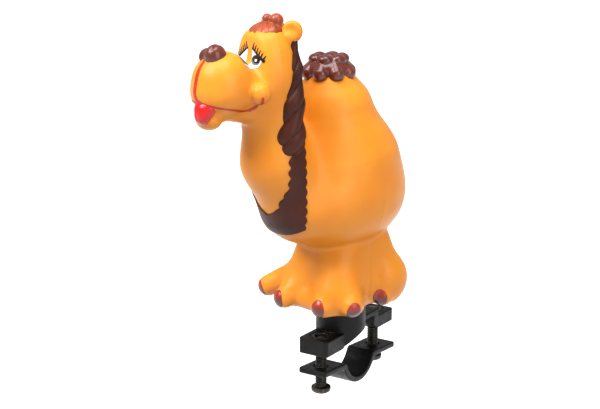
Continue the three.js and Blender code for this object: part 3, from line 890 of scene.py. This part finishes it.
def make_nut(side, centre_y, material):
    bevel = egg([0, centre_y, WING_TOP_Z - NUT_HEIGHT / 2], [4.95, 4.95, 2.9])
    blank = meet(0.15, hexagon(NUT_FLATS, centre_y), slab(2, WING_TOP_Z - NUT_HEIGHT, WING_TOP_Z), bevel)
    shape = cut(0.15, blank, rod(2, SCREW_R + 0.35, [0, centre_y]))
    low = [-5.2, centre_y - 5.2, WING_TOP_Z - NUT_HEIGHT - 0.6]
    high = [5.2, centre_y + 5.2, WING_TOP_Z + 0.6]
    points, quads = surface(shape, low, high, 0.18)
    piece = new_piece(f"hex_nut_{side}", points, quads, "bracket", material)
    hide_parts(f"clamp_nut_{side}")


# ---------------------------------------------------------------- materials


class Material:
    """A Principled material and short ways to add nodes to it."""

    def __init__(self, name):
        self.material = bpy.data.materials.new(name)
        self.material.use_nodes = True
        self.tree = self.material.node_tree
        self.shader = self.tree.nodes["Principled BSDF"]

    def node(self, kind, inputs=None, **settings):
        node = self.tree.nodes.new(kind)
        for name, value in settings.items():
            setattr(node, name, value)
        for key, value in (inputs or {}).items():
            self.feed(node.inputs[key], value)
        return node

    def feed(self, socket, value):
        if isinstance(value, bpy.types.NodeSocket):
            self.tree.links.new(value, socket)
        else:
            socket.default_value = value

    def set(self, **values):
        """Sets the shader's sockets, by names with underscores for spaces."""
        for name, value in values.items():
            self.feed(self.shader.inputs[name.replace("_", " ")], value)

    def attribute(self, name, output="Fac"):
        return self.node("ShaderNodeAttribute", attribute_name=name).outputs[output]

    def noise(self, where, scale, detail=3.0, roughness=0.55):
        inputs = {"Vector": where, "Scale": scale, "Detail": detail, "Roughness": roughness}
        return self.node("ShaderNodeTexNoise", inputs).outputs["Fac"]

    def ramp(self, value, low, high, start=0.0, end=1.0):
        """The value's way from low to high, as a number from start to end."""
        inputs = {"Value": value, "From Min": low, "From Max": high, "To Min": start, "To Max": end}
        return self.node("ShaderNodeMapRange", inputs, interpolation_type="SMOOTHSTEP").outputs["Result"]

    def math(self, operation, a, b=0.0):
        return self.node("ShaderNodeMath", {0: a, 1: b}, operation=operation).outputs[0]

    def mix(self, amount, a, b):
        inputs = {"Factor": amount, "A": a, "B": b}
        node = self.node("ShaderNodeMix", None, data_type="RGBA")
        sockets = [s for s in node.inputs if s.enabled]
        for socket in sockets:
            self.feed(socket, inputs[socket.name])
        return next(s for s in node.outputs if s.enabled)

    def bump(self, height, strength, distance=0.0004):
        inputs = {"Height": height, "Strength": strength, "Distance": distance}
        return self.node("ShaderNodeBump", inputs).outputs["Normal"]


def object_mm(material):
    """Where each point is, in millimetres, on a piece that has no axes of its own."""
    place = material.node("ShaderNodeTexCoord").outputs["Object"]
    return material.node("ShaderNodeVectorMath", {0: place, "Scale": 1000.0}, operation="SCALE").outputs[0]


def vinyl(name, light, dark, roughness, glow, radius=(1.0, 0.32, 0.06), coat=0.0):
    """Soft moulded vinyl: a slightly uneven colour, a satin skin and light that soaks in."""
    m = Material(name)
    where = m.attribute("figure", "Vector")
    broad = m.ramp(m.noise(where, 0.045, 2.0), 0.35, 0.65)
    speck = m.ramp(m.noise(where, 0.9, 4.0), 0.45, 0.75, 0.0, 0.35)
    colour = m.mix(broad, light, dark)
    colour = m.mix(m.math("MULTIPLY", speck, 0.35), colour, dark)
    m.set(Base_Color=colour)
    handled = m.noise(where, 0.12, 3.0)
    m.set(Roughness=m.ramp(handled, 0.3, 0.7, roughness - 0.05, roughness + 0.07))
    m.set(Subsurface_Weight=glow, Subsurface_Radius=radius, Subsurface_Scale=0.004, IOR=1.45)
    m.set(Coat_Weight=coat, Coat_Roughness=0.22, Specular_IOR_Level=0.28)
    pebble = m.math("ADD", m.noise(where, 1.8, 3.0), m.math("MULTIPLY", m.noise(where, 0.25, 2.0), 2.0))
    m.set(Normal=m.bump(pebble, 0.05, 0.0003))
    return m


def skin_material():
    return vinyl("orange_vinyl", (0.80, 0.285, 0.021, 1), (0.76, 0.245, 0.015, 1), 0.38, 0.3).material


def hair_material():
    m = vinyl("brown_hair_paint", (0.062, 0.014, 0.008, 1), (0.034, 0.007, 0.004, 1), 0.42, 0.08)
    m.set(Specular_IOR_Level=0.16)
    return m.material


def glossy_hair_material():
    m = vinyl("glossy_brown_paint", (0.140, 0.026, 0.013, 1), (0.085, 0.014, 0.008, 1), 0.24, 0.12, coat=0.45)
    return m.material


def forelock_material():
    m = vinyl("russet_hair_paint", (0.40, 0.075, 0.020, 1), (0.15, 0.026, 0.012, 1), 0.3, 0.3, coat=0.2)
    return m.material


def tongue_material():
    m = vinyl("red_tongue_paint", (0.72, 0.011, 0.014, 1), (0.56, 0.006, 0.009, 1), 0.24, 0.2, coat=0.2)
    return m.material


def mouth_line_material():
    m = vinyl("red_mouth_paint", (0.62, 0.040, 0.014, 1), (0.48, 0.022, 0.009, 1), 0.3, 0.2)
    return m.material


def nail_material():
    """Red at the top of each nail and a dusky plum below, over the nails' own paint: the red top is painted
    light, where light glows through, and the plum below is painted shade.
    """
    m = vinyl("nail_paint_with_painted_light", (0.50, 0.045, 0.018, 1), (0.46, 0.038, 0.016, 1), 0.26, 0.15, coat=0.3)
    figure = m.attribute("figure", "Vector")
    height = m.node("ShaderNodeSeparateXYZ", {0: figure}).outputs["Z"]
    painted_light_height = m.math("ADD", height, m.noise(figure, 0.6, 2.0))
    low = m.ramp(painted_light_height, 2.4, 6.2)
    # Painted light and shade: lit red towards the top of each nail, shaded plum lower down.
    m.set(Base_Color=m.mix(low, (0.105, 0.022, 0.022, 1), (0.38, 0.034, 0.013, 1)))
    return m.material


def lash_material():
    m = vinyl("black_lash_paint", (0.012, 0.010, 0.009, 1), (0.020, 0.016, 0.014, 1), 0.35, 0.0)
    return m.material


IRIS = {"across": 2.6, "up": 2.0}
PUPIL_SHARE = 0.74
GLINT_SHARE = 0.25
PAINT_EDGE = 0.04


def eye_material():
    """White paint with a grey iris, a black pupil, one white glint and a thin grey outline."""
    m = vinyl("eye_paint", (0.86, 0.85, 0.83, 1), (0.80, 0.79, 0.77, 1), 0.28, 0.1, coat=0.2)
    white = m.shader.inputs["Base Color"].links[0].from_socket
    place = m.node("ShaderNodeSeparateXYZ", {0: m.attribute("picture", "Vector")})

    def dot(across, up, share):
        """A disc as wide as a share of the iris."""
        du = m.math("DIVIDE", m.math("SUBTRACT", place.outputs["X"], across), IRIS["across"])
        dv = m.math("DIVIDE", m.math("SUBTRACT", place.outputs["Y"], up), IRIS["up"])
        away = m.math("SQRT", m.math("ADD", m.math("MULTIPLY", du, du), m.math("MULTIPLY", dv, dv)))
        return m.ramp(away, share - PAINT_EDGE, share + PAINT_EDGE, 1.0, 0.0)

    outline = m.ramp(m.attribute("rim"), -0.3, -0.12)
    colour = m.mix(outline, white, (0.22, 0.16, 0.12, 1))
    iris_tone = m.ramp(place.outputs["Y"], -1.8, 1.2)
    iris = m.mix(iris_tone, (0.13, 0.15, 0.155, 1), (0.03, 0.035, 0.04, 1))
    colour = m.mix(dot(0, 0, 1.0), colour, iris)
    colour = m.mix(dot(0.3, 0.25, PUPIL_SHARE), colour, (0.006, 0.006, 0.007, 1))
    colour = m.mix(dot(0, 0, GLINT_SHARE), colour, (0.92, 0.92, 0.92, 1))
    m.set(Base_Color=colour)
    return m.material


def plastic_material():
    """Black moulded plastic: a fine even grain, duller patches and edges rubbed lighter."""
    m = Material("black_moulded_plastic")
    where = object_mm(m)
    edge = m.ramp(m.node("ShaderNodeNewGeometry").outputs["Pointiness"], 0.52, 0.62)
    worn = m.math("MULTIPLY", edge, m.ramp(m.noise(where, 0.35, 4.0), 0.35, 0.7))
    patch = m.ramp(m.noise(where, 0.12, 3.0), 0.35, 0.7)
    colour = m.mix(patch, (0.002, 0.002, 0.0022, 1), (0.004, 0.0038, 0.0045, 1))
    m.set(Base_Color=m.mix(worn, colour, (0.02, 0.02, 0.022, 1)))
    m.set(Roughness=m.ramp(m.noise(where, 0.4, 4.0), 0.3, 0.7, 0.36, 0.5))
    grain = m.math("ADD", m.noise(where, 5.0, 2.0), m.noise(where, 1.2, 2.0))
    m.set(Normal=m.bump(grain, 0.12, 0.00008), IOR=1.5, Specular_IOR_Level=0.15)
    return m.material


def steel_material():
    """Blackened steel with oily and rubbed patches."""
    m = Material("blackened_steel")
    where = object_mm(m)
    rubbed = m.ramp(m.noise(where, 1.1, 5.0), 0.48, 0.72)
    edge = m.ramp(m.node("ShaderNodeNewGeometry").outputs["Pointiness"], 0.53, 0.64)
    bare = m.math("MAXIMUM", m.math("MULTIPLY", rubbed, 0.5), m.math("MULTIPLY", edge, 0.6))
    m.set(Base_Color=m.mix(bare, (0.028, 0.025, 0.022, 1), (0.20, 0.18, 0.15, 1)))
    m.set(Metallic=0.85, Roughness=m.ramp(m.noise(where, 2.0, 4.0), 0.3, 0.7, 0.3, 0.48))
    m.set(Normal=m.bump(m.noise(where, 4.0, 4.0), 0.15, 0.00008))
    return m.material


def reed_plastic_material():
    """Natural white plastic, a little milky."""
    m = Material("milky_reed_plastic")
    where = object_mm(m)
    cloud = m.ramp(m.noise(where, 0.3, 3.0), 0.35, 0.65)
    m.set(Base_Color=m.mix(cloud, (0.74, 0.71, 0.63, 1), (0.66, 0.62, 0.53, 1)))
    m.set(Roughness=m.ramp(m.noise(where, 1.0, 3.0), 0.3, 0.7, 0.38, 0.52), Subsurface_Weight=0.15)
    m.set(Subsurface_Radius=(1.0, 0.9, 0.7), Subsurface_Scale=0.001)
    m.set(Normal=m.bump(m.noise(where, 3.0, 2.0), 0.1, 0.0001))
    return m.material


def brass_material():
    """A rolled brass strip, with fine lines along it and slight tarnish."""
    m = Material("rolled_brass")
    where = object_mm(m)
    stretched = m.node("ShaderNodeVectorMath", {0: where, 1: (6.0, 6.0, 0.4)}, operation="MULTIPLY").outputs[0]
    lines = m.noise(stretched, 1.5, 3.0)
    tarnish = m.ramp(m.noise(where, 0.5, 3.0), 0.45, 0.75)
    m.set(Base_Color=m.mix(tarnish, (0.72, 0.50, 0.20, 1), (0.45, 0.28, 0.10, 1)), Metallic=1.0)
    m.set(Roughness=m.ramp(lines, 0.3, 0.7, 0.22, 0.38), Normal=m.bump(lines, 0.1, 0.00005))
    return m.material


def dress_reed():
    plastic, brass = reed_plastic_material(), brass_material()
    for node in ("reed_housing", "reed_block", "reed_wedge", "reed_tongue"):
        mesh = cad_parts[node].data
        mesh.materials.clear()
        mesh.materials.append(brass if node == "reed_tongue" else plastic)


# ---------------------------------------------------------------- camera, floor and light
AZIMUTH = math.radians(33.28)
ELEVATION = math.radians(14.14)
DISTANCE = 0.585
AIM = Vector((-0.0244, -0.00105, 0.06125))


def make_camera():
    flat = math.cos(ELEVATION)
    back = Vector((math.sin(AZIMUTH) * flat, -math.cos(AZIMUTH) * flat, math.sin(ELEVATION)))
    camera = bpy.data.objects.new("camera", bpy.data.cameras.new("camera"))
    camera.data.lens = 80
    camera.data.sensor_width = 36
    camera.data.clip_start = 0.01
    camera.location = AIM + back * DISTANCE
    camera.rotation_mode = "QUATERNION"
    camera.rotation_quaternion = (-back).to_track_quat("-Z", "Y")
    bpy.context.scene.collection.objects.link(camera)
    bpy.context.scene.camera = camera


def make_floor():
    size = 6.0
    height = -0.35
    corners = np.array([[-size, -size], [size, -size], [size, size], [-size, size]])
    mesh = bpy.data.meshes.new("floor")
    mesh.from_pydata([(x, y, height) for x, y in corners], [], [(0, 1, 2, 3)])
    floor = bpy.data.objects.new("floor", mesh)
    m = Material("pale_floor")
    where = m.node("ShaderNodeTexCoord").outputs["Object"]
    pale = m.mix(m.noise(where, 3.0, 2.0), (0.93, 0.93, 0.93, 1), (0.95, 0.95, 0.95, 1))
    m.set(Base_Color=pale, Roughness=0.8)
    m.set(Emission_Color=(1, 1, 1, 1), Emission_Strength=0.9)
    mesh.materials.append(m.material)
    floor.visible_diffuse = False
    bpy.context.scene.collection.objects.link(floor)


def soft_light(name, place, aim, size, power, colour=(1, 1, 1)):
    data = bpy.data.lights.new(name, "AREA")
    data.shape = "RECTANGLE"
    data.size, data.size_y = size
    data.energy = power
    data.color = colour
    light = bpy.data.objects.new(name, data)
    light.location = place
    light.rotation_mode = "QUATERNION"
    light.rotation_quaternion = (Vector(aim) - Vector(place)).to_track_quat("-Z", "Y")
    bpy.context.scene.collection.objects.link(light)


def make_lights():
    world = bpy.data.worlds.new("studio")
    bpy.context.scene.world = world
    world.use_nodes = True
    world.node_tree.nodes["Background"].inputs["Color"].default_value = (1, 1, 1, 1)
    world.node_tree.nodes["Background"].inputs["Strength"].default_value = 0.5
    middle = (0, -0.02, 0.08)
    soft_light("key", (-0.34, -0.6, 0.82), middle, (0.5, 0.5), 12.5)
    soft_light("top", (0.1, -0.2, 0.95), middle, (0.5, 0.5), 7.0)
    soft_light("side", (0.75, -0.35, 0.35), middle, (0.4, 0.7), 3.6)


# ---------------------------------------------------------------- the whole horn
bpy.context.scene.view_settings.view_transform = "Standard"
make_camera()
make_floor()
make_lights()

skin_paint = skin_material()
hair_paint = hair_material()
glossy_paint = glossy_hair_material()
camel = make_camel_skin(skin_paint)
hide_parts("camel_bulb")
make_ears(skin_paint)
make_nose(glossy_paint)
make_tongue(tongue_material())
make_forelock(forelock_material())
make_hump_tuft(glossy_paint)
make_mane_locks(hair_paint)
make_bib(hair_paint)
make_eyes(eye_material())
make_lashes(lash_material())
make_mouth_line(mouth_line_material())
make_nails(nail_material())

black_plastic = plastic_material()
black_steel = steel_material()
make_bracket(black_plastic)
make_strap(black_plastic)
make_screw("front", -SCREW_Y, front_screw_low[2], front_screw_high[2], black_steel)
make_screw("rear", SCREW_Y, screw_low[2], screw_high[2], black_steel)
make_nut("front", -SCREW_Y, black_steel)
make_nut("rear", SCREW_Y, black_steel)
dress_reed()
